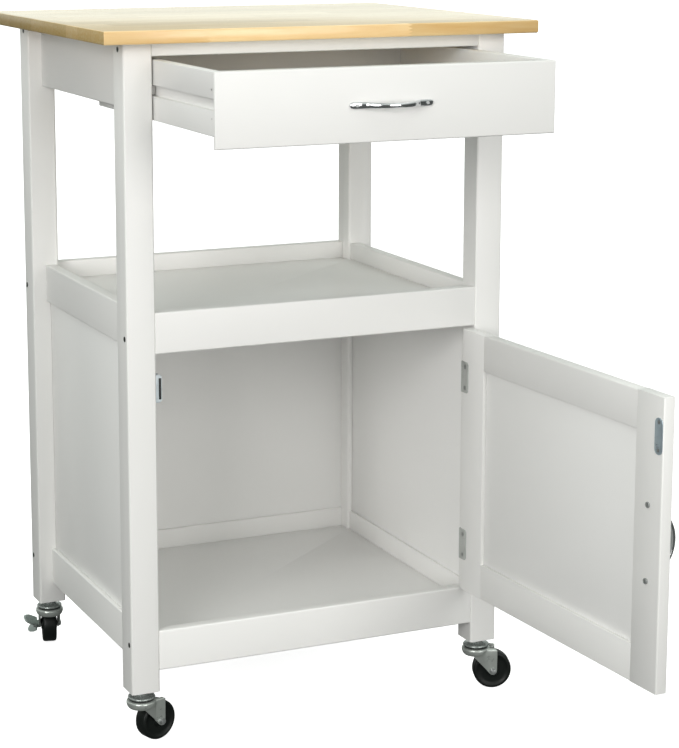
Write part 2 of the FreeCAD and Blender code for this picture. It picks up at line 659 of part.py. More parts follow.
def fork():
    """Stamped fork: a round ball race on top, and two plates that taper down to the axle."""
    tail = caster_trail + fork_tail
    nose = -fork_race_radius * 0.62
    boss = Vec(caster_trail, 0, -axle_drop)
    start = Vec(nose, 0, -race_low)
    to_boss = boss - start
    slope = math.atan2(to_boss.z, to_boss.x) - math.asin(fork_boss_radius / to_boss.Length)
    tangent = boss + Vec(math.sin(slope), 0, -math.cos(slope)) * fork_boss_radius
    trailing = boss + Vec(fork_boss_radius, 0, 0)
    low_point = boss + Vec(math.cos((slope - math.pi / 2) / 2), 0,
                           math.sin((slope - math.pi / 2) / 2)) * fork_boss_radius
    horn = fork_bend * 1.5
    corner_top = Vec(tail, 0, -fork_top - horn)
    corner_mid = Vec(tail - horn * (1 - math.sqrt(0.5)), 0, -fork_top - horn * (1 - math.sqrt(0.5)))
    corner_end = Vec(tail - horn, 0, -fork_top)
    outline = Part.Wire([
        Part.LineSegment(start, tangent).toShape(),
        Part.Arc(tangent, low_point, trailing).toShape(),
        Part.LineSegment(trailing, corner_top).toShape(),
        Part.Arc(corner_top, corner_mid, corner_end).toShape(),
        Part.LineSegment(corner_end, Vec(nose, 0, -fork_top)).toShape(),
        Part.LineSegment(Vec(nose, 0, -fork_top), start).toShape()])
    side_shape = Part.Face(outline).extrude(Vec(0, 2 * fork_half, 0))
    side_shape.translate(Vec(0, -fork_half, 0))
    body = block((nose - 1, -fork_half, -caster_height), (tail + 1, fork_half, -fork_top))
    body = round_edges(body, 0, fork_bend, lambda p: p.z > -fork_top - 0.1)
    open_tail = block((fork_race_radius * 0.8, -fork_inner_width / 2 + 1, -fork_top - fork_plate * 2),
                      (tail + 1, fork_inner_width / 2 - 1, -fork_top + 1))
    inside = block((nose - 1, -fork_inner_width / 2, -caster_height),
                   (tail + 1, fork_inner_width / 2, -fork_top - fork_plate))
    race = prism((0, 0, -race_low), (0, 0, 1), fork_race_radius, fork_race_height, 16)
    kingpin_hole = rod((0, 0, -race_low - 1), (0, 0, 1), kingpin_radius + race_gap, race_low)
    body = body.cut([inside, open_tail]).common(side_shape).fuse(race)
    return body.cut(kingpin_hole).removeSplitter()


def stem():
    """Hexagon stem that sits in the post's foot, with the upper race and the riveted kingpin."""
    under = -fork_top + ball_ring_height + 2 * race_gap
    rivet_top = -race_low - race_gap
    return prism((0, 0, under), (0, 0, 1), cap_radius, -under, 16).fuse([
        prism((0, 0, 0), (0, 0, 1), stem_radius, stem_length, 6),
        rod((0, 0, rivet_top), (0, 0, 1), kingpin_radius, under - rivet_top),
        prism((0, 0, rivet_top - rivet_height), (0, 0, 1), rivet_radius, rivet_height, 8)]).removeSplitter()


def ball_ring():
    """The row of bearing balls on the lower race, drawn as one ring with a flat for each ball."""
    low = (0, 0, -fork_top + race_gap)
    outer = prism(low, (0, 0, 1), ball_ring_radius + ball_ring_width / 2, ball_ring_height, 10)
    return outer.cut(prism(low, (0, 0, 1), ball_ring_radius - ball_ring_width / 2, ball_ring_height, 10))


def wheel():
    """Solid wheel with a raised hub on both sides and the axle's bore."""
    half = wheel_width / 2
    hub_y = fork_inner_width / 2 - wheel_hub_gap
    solid = rod((0, -half, 0), (0, 1, 0), wheel_diameter / 2, wheel_width).fuse(
        prism((0, -hub_y, 0), (0, 1, 0), wheel_hub_radius, 2 * hub_y, 12))
    solid = solid.cut(rod((0, -hub_y - 1, 0), (0, 1, 0), axle_radius + axle_play, 2 * hub_y + 2))
    return moved(solid.removeSplitter(), caster_trail, 0, -axle_drop)


def axle(has_lever):
    """Bolt across the fork, with a pan head at one end and a hexagon nut at the other."""
    far = fork_half + (race_gap / 2 + lever_hub_height + lever_plate + race_gap if has_lever else 0)
    shaft = rod((caster_trail, -fork_half, -axle_drop), (0, 1, 0), axle_radius, fork_half + far)
    head = prism((caster_trail, -fork_half, -axle_drop), (0, -1, 0), axle_head_radius, axle_head_height, 8)
    nut = prism((caster_trail, far, -axle_drop), (0, 1, 0), nut_radius, nut_height, 6)
    return shaft.fuse([head, nut]).removeSplitter()


def brake_lever():
    """Stamped butterfly on the axle: a flat middle on a boss, and two wings bent outwards."""
    y0 = fork_half + race_gap / 2
    flat_y = y0 + lever_hub_height
    lean = math.tan(math.radians(lever_wing_angle))
    face_shift = lever_plate * math.tan(math.radians(lever_wing_angle / 2))
    rise_long = (lever_long_wing - lever_flat) * lean
    rise_short = (lever_short_wing - lever_flat) * lean
    thick = lever_plate / math.cos(math.radians(lever_wing_angle))
    profile = [(flat_y, -lever_flat), (flat_y, lever_flat),
               (flat_y + rise_long, lever_long_wing), (flat_y + rise_long + thick, lever_long_wing),
               (flat_y + lever_plate, lever_flat - face_shift),
               (flat_y + lever_plate, -lever_flat + face_shift),
               (flat_y + rise_short + thick, -lever_short_wing), (flat_y + rise_short, -lever_short_wing)]
    points = [Vec(-lever_width / 2, y, z) for y, z in profile]
    body = Part.Face(Part.makePolygon(points + points[:1])).extrude(Vec(lever_width, 0, 0))
    outline = block((-lever_width / 2, 0, -lever_short_wing), (lever_width / 2, 60, lever_long_wing))
    body = body.common(outline.makeChamfer(lever_clip, edges_along(outline, 1, 0)))
    body = body.fuse(prism((0, y0, 0), (0, 1, 0), lever_boss_radius, lever_hub_height, 10)).removeSplitter()
    body = body.cut(rod((0, y0 - 1, 0), (0, 1, 0), axle_radius + axle_play, 60))
    body = turned(body, (0, 0, 0), (0, 1, 0), lever_tilt)
    return moved(body, caster_trail, 0, -axle_drop)


def place_caster(shape, corner, heading=True):
    """Turn a caster piece to its heading and set it under its post."""
    sx, sy = corners[corner]
    angle = caster_headings[corner] if heading else 0
    centre = (sx * (half_width - post_size / 2), sy * (half_depth - post_size / 2), post_foot)
    return moved(turned(shape, (0, 0, 0), (0, 0, 1), angle), *centre)


fork_shape, stem_shape, wheel_shape, ring_shape = fork(), stem(), wheel(), ball_ring()
nodes["caster_stems"] = together([place_caster(stem_shape, c, False) for c in corners])
nodes["caster_ball_rings"] = together([place_caster(ring_shape, c, False) for c in corners])
for corner, (sx, sy) in corners.items():
    braked = sy > 0
    nodes["caster_fork_" + corner] = place_caster(fork_shape, corner)
    nodes["caster_wheel_" + corner] = place_caster(wheel_shape, corner)
    nodes["caster_axle_" + corner] = place_caster(axle(braked), corner)
    if braked:
        nodes["brake_lever_" + corner] = place_caster(brake_lever(), corner)

# --- Write one file per node -----------------------------------------------------------------
os.makedirs("parts", exist_ok=True)
for name, shape in nodes.items():
    shape.exportStep("parts/" + name + ".step")
print(len(nodes), "nodes written")
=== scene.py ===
import json
import math

import bmesh
import bpy
from mathutils import Matrix, Vector


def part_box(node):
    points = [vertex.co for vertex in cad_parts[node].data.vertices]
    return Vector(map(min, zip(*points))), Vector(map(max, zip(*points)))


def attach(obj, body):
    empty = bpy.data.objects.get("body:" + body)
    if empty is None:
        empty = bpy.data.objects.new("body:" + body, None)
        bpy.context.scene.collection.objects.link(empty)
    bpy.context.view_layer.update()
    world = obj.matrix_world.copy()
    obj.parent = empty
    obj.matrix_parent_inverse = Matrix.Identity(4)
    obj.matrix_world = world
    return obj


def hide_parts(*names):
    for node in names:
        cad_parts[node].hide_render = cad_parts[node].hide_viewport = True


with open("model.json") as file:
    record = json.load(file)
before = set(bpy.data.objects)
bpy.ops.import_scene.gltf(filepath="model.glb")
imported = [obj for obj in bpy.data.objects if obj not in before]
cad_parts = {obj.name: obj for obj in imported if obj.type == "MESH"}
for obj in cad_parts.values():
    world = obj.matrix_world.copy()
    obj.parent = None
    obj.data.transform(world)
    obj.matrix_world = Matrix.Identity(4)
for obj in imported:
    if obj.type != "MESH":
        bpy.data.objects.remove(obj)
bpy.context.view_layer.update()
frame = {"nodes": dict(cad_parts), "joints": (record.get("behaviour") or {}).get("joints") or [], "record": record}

# --- Viewpoint ---------------------------------------------------------------------------------
# The camera stands in front of the cart, a little to its left and a little above its worktop, at
# the distance and angle from which the cart was photographed.

IMAGE_WIDTH, IMAGE_HEIGHT = 679, 748
LENS_CENTRE_PX = (305.5, 285.7)
FOCAL_PX = 2149.6
CAMERA_PLACE = (-1.0652, -2.5589, 1.0274)
CAMERA_DOWN, CAMERA_RIGHT = 10.338, 23.954

camera_data = bpy.data.cameras.new("camera")
camera_data.sensor_width = 36.0
camera_data.lens = FOCAL_PX * camera_data.sensor_width / IMAGE_HEIGHT
camera_data.shift_x = (IMAGE_WIDTH / 2 - LENS_CENTRE_PX[0]) / IMAGE_HEIGHT
camera_data.shift_y = (LENS_CENTRE_PX[1] - IMAGE_HEIGHT / 2) / IMAGE_HEIGHT
camera = bpy.data.objects.new("camera", camera_data)
camera.location = CAMERA_PLACE
camera.rotation_euler = (math.radians(90 - CAMERA_DOWN), 0, math.radians(-CAMERA_RIGHT))
bpy.context.scene.collection.objects.link(camera)
bpy.context.scene.camera = camera
bpy.context.scene.view_settings.view_transform = "Standard"

# --- Studio ------------------------------------------------------------------------------------
# A round white cove, lit by itself, that only closes the view. One large soft light stands in
# front of the cart and one to its left; the ceiling and the far wall glow, and the floor sends up
# a little light.

JOIN_WITHIN = 1e-6
COVE_RADIUS, COVE_BEND, COVE_HEIGHT = 9000, 2000, 8000
COVE_GLOW = 0.80
AIR_TINT = (0.945, 1.0, 0.955)
CEILING_GLOW, OVERHEAD_SHARE = 1.26, 0.25
FAR_WALL_GLOW = 1.35
FLOOR_GLOW, HORIZON_GLOW = 0.11, 0.05


def painted(name, colour, roughness):
    """A material with one main shader; returns it with its node tree and that shader."""
    material = bpy.data.materials.new(name)
    material.use_nodes = True
    shader = material.node_tree.nodes["Principled BSDF"]
    shader.inputs["Base Color"].default_value = (*colour, 1)
    shader.inputs["Roughness"].default_value = roughness
    return material, material.node_tree, shader


def add_object(name, mesh):
    """Puts a mesh into the scene as an object at the origin."""
    piece = bpy.data.objects.new(name, mesh)
    bpy.context.scene.collection.objects.link(piece)
    return piece


def between(tree, factor, low, high, from_low=0.3, from_high=0.7):
    """Turns a map that runs from from_low to from_high into numbers between low and high."""
    spread = tree.nodes.new("ShaderNodeMapRange")
    spread.inputs["From Min"].default_value = from_low
    spread.inputs["From Max"].default_value = from_high
    spread.inputs["To Min"].default_value = low
    spread.inputs["To Max"].default_value = high
    tree.links.new(factor, spread.inputs["Value"])
    return spread.outputs["Result"]


def reckon(tree, operation, *values):
    """One step of arithmetic on numbers or sockets."""
    step = tree.nodes.new("ShaderNodeMath")
    step.operation = operation
    for place, value in enumerate(values):
        if isinstance(value, (int, float)):
            step.inputs[place].default_value = value
        else:
            tree.links.new(value, step.inputs[place])
    return step.outputs["Value"]


def spun(profile, steps=48, closed=False, at=(0, 0, 0), into=None):
    """Turns a profile of (radius, height) points in mm round an upright axis."""
    turned = bmesh.new() if into is None else into
    ends = [turned.verts.new(Vector((radius, 0, height)) / 1000 + Vector(at))
            for radius, height in profile]
    edges = [turned.edges.new(pair) for pair in zip(ends, ends[1:])]
    if closed:
        edges.append(turned.edges.new((ends[-1], ends[0])))
    bmesh.ops.spin(turned, geom=ends + edges, cent=at, axis=(0, 0, 1), dvec=(0, 0, 0),
                   angle=2 * math.pi, steps=steps, use_merge=True)
    bmesh.ops.remove_doubles(turned, verts=turned.verts, dist=JOIN_WITHIN)
    bmesh.ops.recalc_face_normals(turned, faces=turned.faces)
    return turned


cove_profile = [(0, 0)]
for lean in range(0, 91, 15):
    angle = math.radians(lean)
    cove_profile.append((COVE_RADIUS - COVE_BEND * (1 - math.sin(angle)),
                         COVE_BEND * (1 - math.cos(angle))))
cove_profile.append((COVE_RADIUS, COVE_HEIGHT))
cove = spun(cove_profile, steps=64)
cove_mesh = bpy.data.meshes.new("studio_cove")
cove.to_mesh(cove_mesh)
cove.free()
cove_mesh.shade_smooth()
floor = add_object("studio_cove", cove_mesh)
paper, _, paper_shader = painted("paper_cove", (0.90, 0.90, 0.90), 0.9)
paper_shader.inputs["Emission Color"].default_value = (1.0, 1.0, 1.0, 1)
paper_shader.inputs["Emission Strength"].default_value = COVE_GLOW
cove_mesh.materials.append(paper)
floor.visible_diffuse = floor.visible_glossy = floor.visible_shadow = False

world = bpy.data.worlds.new("studio_air")
world.use_nodes = True
air = world.node_tree
looking = air.nodes.new("ShaderNodeSeparateXYZ")
air.links.new(air.nodes.new("ShaderNodeTexCoord").outputs["Generated"], looking.inputs["Vector"])
back, up = looking.outputs["Y"], looking.outputs["Z"]
ceiling = reckon(air, "MULTIPLY",
                 between(air, up, 0.0, CEILING_GLOW, from_low=0.0, from_high=1.0),
                 between(air, up, 1.0, OVERHEAD_SHARE, from_low=0.90, from_high=0.97))
wall_band = reckon(air, "MULTIPLY",
                   between(air, up, 0.0, 1.0, from_low=-0.06, from_high=0.0),
                   between(air, up, 1.0, 0.0, from_low=0.10, from_high=0.28))
far_wall = reckon(air, "MULTIPLY",
                  between(air, back, 0.0, FAR_WALL_GLOW, from_low=0.55, from_high=0.80), wall_band)
floor_light = between(air, up, FLOOR_GLOW, HORIZON_GLOW, from_low=-0.30, from_high=0.10)
air.nodes["Background"].inputs["Color"].default_value = (*AIR_TINT, 1)
air.links.new(reckon(air, "MAXIMUM", floor_light, reckon(air, "MAXIMUM", ceiling, far_wall)),
              air.nodes["Background"].inputs["Strength"])
bpy.context.scene.world = world


def soft_light(name, place, aim, width, watts, colour):
    """A square lamp of that width in metres, turned to the point it aims at."""
    lamp = bpy.data.lights.new(name, "AREA")
    lamp.shape = "SQUARE"
    lamp.size = width
    lamp.energy = watts
    lamp.color = colour
    light = bpy.data.objects.new(name, lamp)
    light.location = place
    light.rotation_euler = (Vector(aim) - Vector(place)).to_track_quat("-Z", "Y").to_euler()
    bpy.context.scene.collection.objects.link(light)


soft_light("front_light", place=(0.9, -4.6, 1.4), aim=(0, 0, 0.45), width=2.4, watts=75,
           colour=(1.0, 0.985, 0.97))
soft_light("side_light", place=(-3.1, -3.1, 1.5), aim=(0, 0, 0.5), width=1.9, watts=98,
           colour=(1.0, 0.985, 0.975))

# --- Posts -------------------------------------------------------------------------------------
# Four square softwood posts, planed, with their long edges eased, under satin white paint. The
# paint shows a very faint tooth along the grain and small changes of tone.

PAINT_WHITE = (0.885, 0.880, 0.862)
PAINT_SHADE = 0.97
FLAT_WITHIN = 0.5
BOARD_ARRIS = 0.0006

nodes = frame["nodes"]
body_of = {node: body for body, members in frame["record"]["behaviour"]["bodies"].items()
           for node in members}


def point_source(tree, scale=(1, 1, 1)):
    """Object coordinates through a Mapping node, stretched by scale."""
    place = tree.nodes.new("ShaderNodeTexCoord")
    mapping = tree.nodes.new("ShaderNodeMapping")
    mapping.inputs["Scale"].default_value = scale
    tree.links.new(place.outputs["Object"], mapping.inputs["Vector"])
    return mapping.outputs["Vector"]


def noise_map(tree, vector, scale, detail, rough=0.5):
    """A cloudy map; a larger scale makes it finer."""
    noise = tree.nodes.new("ShaderNodeTexNoise")
    noise.inputs["Scale"].default_value = scale
    noise.inputs["Detail"].default_value = detail
    noise.inputs["Roughness"].default_value = rough
    tree.links.new(vector, noise.inputs["Vector"])
    return noise.outputs["Fac"]


def colour_between(tree, factor, dark, pale, dark_at=0.3, pale_at=0.7):
    """Turns a map into colours between dark and pale."""
    ramp = tree.nodes.new("ShaderNodeValToRGB")
    ramp.color_ramp.elements[0].position = dark_at
    ramp.color_ramp.elements[0].color = (*dark, 1)
    ramp.color_ramp.elements[1].position = pale_at
    ramp.color_ramp.elements[1].color = (*pale, 1)
    tree.links.new(factor, ramp.inputs["Fac"])
    return ramp.outputs["Color"]


def shaded(colour, share):
    return [share * value for value in colour]


def raise_surface(tree, shader, height, strength, distance):
    """Lets a map stand up from the surface by that distance in metres."""
    bump = tree.nodes.new("ShaderNodeBump")
    bump.inputs["Strength"].default_value = strength
    bump.inputs["Distance"].default_value = distance
    tree.links.new(height, bump.inputs["Height"])
    tree.links.new(bump.outputs["Normal"], shader.inputs["Normal"])


def white_paint(name, grain):
    """Satin white paint; grain is the stretch of its tooth along X, Y and Z."""
    material, tree, shader = painted(name, PAINT_WHITE, 0.38)
    tooth = noise_map(tree, point_source(tree, grain), scale=22, detail=5.0, rough=0.62)
    cloud = noise_map(tree, point_source(tree), scale=3.5, detail=2.0)
    tree.links.new(colour_between(tree, cloud, shaded(PAINT_WHITE, PAINT_SHADE), PAINT_WHITE),
                   shader.inputs["Base Color"])
    tree.links.new(between(tree, tooth, 0.31, 0.46), shader.inputs["Roughness"])
    raise_surface(tree, shader, tooth, strength=0.14, distance=0.0006)
    return material


def merged_copy(node):
    """A working copy of a CAD node's mesh, its corners joined and its flat faces whole."""
    copy = bmesh.new()
    copy.from_mesh(nodes[node].data)
    bmesh.ops.remove_doubles(copy, verts=copy.verts, dist=JOIN_WITHIN)
    bmesh.ops.dissolve_limit(copy, angle_limit=math.radians(FLAT_WITHIN), verts=copy.verts,
                             edges=copy.edges)
    return copy


def put(piece_mesh, name, material, body, *stands_for, smooth_to=35):
    """Makes a piece of a working mesh: smooth but for its corners, riding on its body."""
    mesh = bpy.data.meshes.new(name)
    piece_mesh.to_mesh(mesh)
    piece_mesh.free()
    mesh.shade_smooth()
    mesh.set_sharp_from_angle(angle=math.radians(smooth_to))
    mesh.materials.append(material)
    piece = add_object(name, mesh)
    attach(piece, body)
    for node in stands_for:
        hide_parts(node)
    return piece


def round_edges(piece_mesh, edges, width, segments):
    """Works the given edges round."""
    bmesh.ops.bevel(piece_mesh, geom=edges, offset=width, offset_type="OFFSET", segments=segments,
                    profile=0.5, affect="EDGES", clamp_overlap=True, material=-1)


def soften(piece_mesh, width, from_angle=30):
    """Rounds every corner edge that turns by more than from_angle."""
    corners = [edge for edge in piece_mesh.edges
               if len(edge.link_faces) == 2 and edge.calc_face_angle(0) > math.radians(from_angle)]
    round_edges(piece_mesh, corners, width, segments=2)
    return piece_mesh


def soft_board(material, *names, width=BOARD_ARRIS):
    """Shows CAD boards with gently rounded arrises."""
    for name in names:
        put(soften(merged_copy(name), width), name + "_board", material, body_of[name], name)


upright_paint = white_paint("white_paint_upright", (30, 30, 2))
soft_board(upright_paint, "post_front_left", "post_front_right", "post_back_left",
           "post_back_right")

# --- Rails, aprons and stretchers --------------------------------------------------------------
# Softwood rails between the posts and flat stretchers under the worktop, in the same white paint,
# with its tooth running along each board.

crosswise_paint = white_paint("white_paint_crosswise", (2, 30, 30))
lengthwise_paint = white_paint("white_paint_lengthwise", (30, 2, 30))
soft_board(crosswise_paint, "top_stretcher_front", "top_stretcher_back", "shelf_rail_front",
           "shelf_rail_back", "base_rail_front", "base_rail_back")
soft_board(lengthwise_paint, "apron_left", "apron_right", "shelf_rail_left", "shelf_rail_right",
           "base_rail_left", "base_rail_right")

# --- Worktop -----------------------------------------------------------------------------------
# Hardwood staves, glued side by side and finger jointed end to end, under a clear satin lacquer.
# The staves differ a little in tone, and the two ends of the top show their duller end grain.

STAVE_WIDTH, STAVE_LENGTH = 0.047, 0.26
FINGER_LENGTH, FINGER_PITCH = 0.006, 0.002
WORKTOP_HALF_DEPTH = 0.235
WOOD_DARK, WOOD_PALE = (0.90, 0.64, 0.31), (0.99, 0.80, 0.47)
GLUE_TINT, GLUE_STRENGTH = (0.74, 0.62, 0.46), 0.75
STREAK_SHUFFLE = 40.0
FACES_SIDEWAYS = 0.7
LACQUER_COAT, LACQUER_ROUGHNESS = 0.6, 0.16
WORKTOP_ARRIS = 0.0007


def glued_staves():
    """The worktop's wood: every stave gets its own place, tone and streaks."""
    material, tree, shader = painted("glued_staves", (0.82, 0.58, 0.29), 0.30)
    split = tree.nodes.new("ShaderNodeSeparateXYZ")
    tree.links.new(point_source(tree), split.inputs["Vector"])
    along, across, height = split.outputs["X"], split.outputs["Y"], split.outputs["Z"]

    row_run = reckon(tree, "DIVIDE", reckon(tree, "ADD", across, WORKTOP_HALF_DEPTH), STAVE_WIDTH)
    row = reckon(tree, "FLOOR", row_run)
    chance = tree.nodes.new("ShaderNodeTexWhiteNoise")
    chance.noise_dimensions = "1D"
    tree.links.new(row, chance.inputs["W"])
    row_shift = reckon(tree, "MULTIPLY", chance.outputs["Value"], STAVE_LENGTH)
    finger = reckon(tree, "MULTIPLY", reckon(tree, "PINGPONG", height, FINGER_PITCH),
                    FINGER_LENGTH / FINGER_PITCH)
    shifted = reckon(tree, "ADD", reckon(tree, "ADD", along, row_shift), finger)
    stave_run = reckon(tree, "DIVIDE", shifted, STAVE_LENGTH)
    stave = reckon(tree, "FLOOR", stave_run)
    each = tree.nodes.new("ShaderNodeTexWhiteNoise")
    each.noise_dimensions = "2D"
    row_and_stave = tree.nodes.new("ShaderNodeCombineXYZ")
    tree.links.new(row, row_and_stave.inputs["X"])
    tree.links.new(stave, row_and_stave.inputs["Y"])
    tree.links.new(row_and_stave.outputs["Vector"], each.inputs["Vector"])
    tone = each.outputs["Value"]

    def streaks(stretch, scale, detail):
        """Streaks that differ from stave to stave."""
        noise = tree.nodes.new("ShaderNodeTexNoise")
        noise.noise_dimensions = "4D"
        noise.inputs["Scale"].default_value = scale
        noise.inputs["Detail"].default_value = detail
        noise.inputs["Roughness"].default_value = 0.6
        tree.links.new(point_source(tree, stretch), noise.inputs["Vector"])
        tree.links.new(reckon(tree, "MULTIPLY", tone, STREAK_SHUFFLE), noise.inputs["W"])
        return noise.outputs["Fac"]

    def by_tone(low, high):
        return between(tree, tone, low, high, from_low=0.0, from_high=1.0)

    figure = streaks((2.2, 22, 22), scale=5, detail=4.0)
    pores = streaks((9, 240, 240), scale=6, detail=3.0)
    rings = streaks((1, 55, 90), scale=4, detail=3.0)
    facing = tree.nodes.new("ShaderNodeSeparateXYZ")
    tree.links.new(tree.nodes.new("ShaderNodeNewGeometry").outputs["Normal"],
                   facing.inputs["Vector"])
    end = reckon(tree, "GREATER_THAN", reckon(tree, "ABSOLUTE", facing.outputs["X"]),
                 FACES_SIDEWAYS)

    def by_end(elsewhere, on_end):
        return between(tree, end, elsewhere, on_end, from_low=0.0, from_high=1.0)

    grain = tree.nodes.new("ShaderNodeMix")
    tree.links.new(end, grain.inputs["Factor"])
    tree.links.new(figure, grain.inputs["A"])
    tree.links.new(rings, grain.inputs["B"])
    wood = colour_between(tree, grain.outputs["Result"], WOOD_DARK, WOOD_PALE, dark_at=0.32,
                          pale_at=0.68)
    shade = tree.nodes.new("ShaderNodeHueSaturation")
    tree.links.new(wood, shade.inputs["Color"])
    tree.links.new(reckon(tree, "MULTIPLY", by_tone(0.84, 1.06), by_end(1.08, 0.56)),
                   shade.inputs["Value"])
    tree.links.new(reckon(tree, "MULTIPLY", by_tone(1.06, 0.94), by_end(1.0, 1.16)),
                   shade.inputs["Saturation"])

    def off_middle(run):
        """How far a place lies from the middle of its stave; 0.5 is at the joint."""
        return reckon(tree, "ABSOLUTE", reckon(tree, "SUBTRACT", reckon(tree, "FRACT", run), 0.5))

    glue = reckon(tree, "MAXIMUM",
                  between(tree, off_middle(row_run), 0.0, 1.0, from_low=0.487, from_high=0.497),
                  between(tree, off_middle(stave_run), 0.0, 1.0, from_low=0.4975,
                          from_high=0.4992))
    flecks = between(tree, pores, 0.30, 0.0, from_low=0.34, from_high=0.50)
    dark = tree.nodes.new("ShaderNodeMix")
    dark.data_type = "RGBA"
    dark.blend_type = "MULTIPLY"
    tree.links.new(shade.outputs["Color"], dark.inputs["A"])
    dark.inputs["B"].default_value = (*GLUE_TINT, 1)
    tree.links.new(reckon(tree, "MAXIMUM", reckon(tree, "MULTIPLY", glue, GLUE_STRENGTH), flecks),
                   dark.inputs["Factor"])
    tree.links.new(dark.outputs["Result"], shader.inputs["Base Color"])
    tree.links.new(between(tree, pores, 0.36, 0.26), shader.inputs["Roughness"])
    tree.links.new(by_end(LACQUER_COAT, 0.0), shader.inputs["Coat Weight"])
    tree.links.new(by_end(0.5, 0.1), shader.inputs["Specular IOR Level"])
    shader.inputs["Coat Roughness"].default_value = LACQUER_ROUGHNESS
    raise_surface(tree, shader, pores, strength=0.10, distance=0.0004)
    return material


soft_board(glued_staves(), "worktop", width=WORKTOP_ARRIS)

# --- Tray shelf, cabinet floor and panels ------------------------------------------------------
# Thin boards held in grooves of the rails and posts, the shelf and the floor rebated at their
# edges. They are sprayed white, so they show only the fine ripple of the spray.

SPRAY_WHITE, SPRAY_DARK, SPRAY_PALE = ((0.90, 0.898, 0.882), (0.885, 0.882, 0.866),
                                       (0.910, 0.908, 0.893))
PANEL_ARRIS = 0.0003


def sprayed_board(name):
    """Sprayed paint over thin board."""
    material, tree, shader = painted(name, SPRAY_WHITE, 0.36)
    ripple = noise_map(tree, point_source(tree), scale=160, detail=2.0)
    cloud = noise_map(tree, point_source(tree), scale=2.5, detail=2.0)
    tree.links.new(colour_between(tree, cloud, SPRAY_DARK, SPRAY_PALE),
                   shader.inputs["Base Color"])
    tree.links.new(between(tree, cloud, 0.32, 0.40), shader.inputs["Roughness"])
    raise_surface(tree, shader, ripple, strength=0.08, distance=0.0004)
    return material


sprayed = sprayed_board("sprayed_board")
soft_board(sprayed, "side_panel_left", "side_panel_right", "back_panel", "shelf_panel",
           "floor_panel", width=PANEL_ARRIS)

# --- Drawer ------------------------------------------------------------------------------------
# A nailed box of white boards: a thicker front rebated over the sides, sides grooved outside for
# the runners, and a thin bottom in grooves. The two runners are painted strips on the posts.

DRAWER_SIDE_ARRIS = 0.0004
THIN_ARRIS = 0.0002

soft_board(crosswise_paint, "drawer_front", "drawer_back")
soft_board(lengthwise_paint, "drawer_side_left", "drawer_side_right", "drawer_runners",
           width=DRAWER_SIDE_ARRIS)
soft_board(sprayed, "drawer_bottom", width=THIN_ARRIS)

# --- Door --------------------------------------------------------------------------------------
# A frame of two stiles and two rails round a thin panel in grooves, all painted white. It hangs
# on the right front post.

soft_board(upright_paint, "door_stile_hinge", "door_stile_free")
soft_board(lengthwise_paint, "door_rail_top", "door_rail_bottom")
soft_board(sprayed, "door_panel", width=THIN_ARRIS)

# --- Frame bolts -------------------------------------------------------------------------------
# Twelve steel bolts hold the front and back rails and stretchers between the posts. Each shows
# only its dark socket in the post's side face. The socket is a shallow stepped cup coloured
# near-black, as painted shade that stands in for the shadow deep inside the socket.

CUP_SIDES = 24
CUP_STEPS = (0.22, 0.28)
CUP_STEP_DEPTH = 0.0011
BOLT_HEAD_SIDES = 8
METAL_SHADE = 0.84


def plated(name, colour, roughness, spread=0.08, scale=90, metal=1.0):
    """Plated or bare metal with a fine uneven lustre."""
    material, tree, shader = painted(name, colour, roughness)
    shader.inputs["Metallic"].default_value = metal
    spangle = noise_map(tree, point_source(tree), scale, detail=4.0, rough=0.6)
    tree.links.new(between(tree, spangle, roughness - spread / 2, roughness + spread),
                   shader.inputs["Roughness"])
    tree.links.new(colour_between(tree, spangle, shaded(colour, METAL_SHADE), colour),
                   shader.inputs["Base Color"])
    raise_surface(tree, shader, spangle, strength=0.05, distance=0.0002)
    return material


def flat_heads(node):
    """Centre, outward direction and radius of each fastener head of a CAD node."""
    copy = merged_copy(node)
    found = [(face.calc_center_median(), face.normal.copy(),
              (face.verts[0].co - face.calc_center_median()).length)
             for face in copy.faces if len(face.verts) == BOLT_HEAD_SIDES]
    copy.free()
    return found


def facing_to(direction):
    """Turns +Z to a direction."""
    return Vector(direction).to_track_quat("Z", "Y").to_matrix().to_4x4()


def refinish(node, material):
    """Gives a CAD node that stays in view its material."""
    for slot in nodes[node].material_slots:
        slot.material = material


# Near-black steel. On the bolt cups this black is painted shade for the deep sockets; the caster balls and the CAD
# bolts use the same material.
dark_steel_and_socket_shade = plated("blackened_steel_and_socket_shade", (0.075, 0.078, 0.076), 0.45)
cups = bmesh.new()
for place, outward, radius in flat_heads("frame_bolts"):
    ring = bmesh.ops.create_circle(cups, cap_ends=True, segments=CUP_SIDES, radius=radius,
                                   matrix=Matrix.Translation(place) @ facing_to(outward))["verts"]
    cup = ring[0].link_faces[0]
    for step in CUP_STEPS:
        bmesh.ops.inset_region(cups, faces=[cup], thickness=radius * step)
        bmesh.ops.translate(cups, verts=cup.verts, vec=-CUP_STEP_DEPTH * outward)
put(cups, "bolt_sockets", dark_steel_and_socket_shade, "cart")
refinish("frame_bolts", dark_steel_and_socket_shade)

# --- Screws and nails --------------------------------------------------------------------------
# Cross-head screws of plated steel hold the hinges, catch, strike plate, handles, runners and
# worktop. The drawer's corners are nailed, and the small nail ends lie flush in its sides.

HEAD_SIDES = 28
RECESS_CELLS, RECESS_SPAN = 7, 0.62
RECESS_ARM, RECESS_REACH = 0.4, 0.9
RECESS_DEPTH, RECESS_TAPER = 0.0010, 0.8
HEAD_SKIRT = 0.0012
HEAD_SHAPES = (("cabinet_screws", 0.0005, -0.0001), ("door_screws", 0.0007, -0.0004),
               ("drawer_screws", 0.0007, -0.0004))

screw_steel = plated("screw_steel", (0.44, 0.46, 0.455), 0.30, metal=0.75)


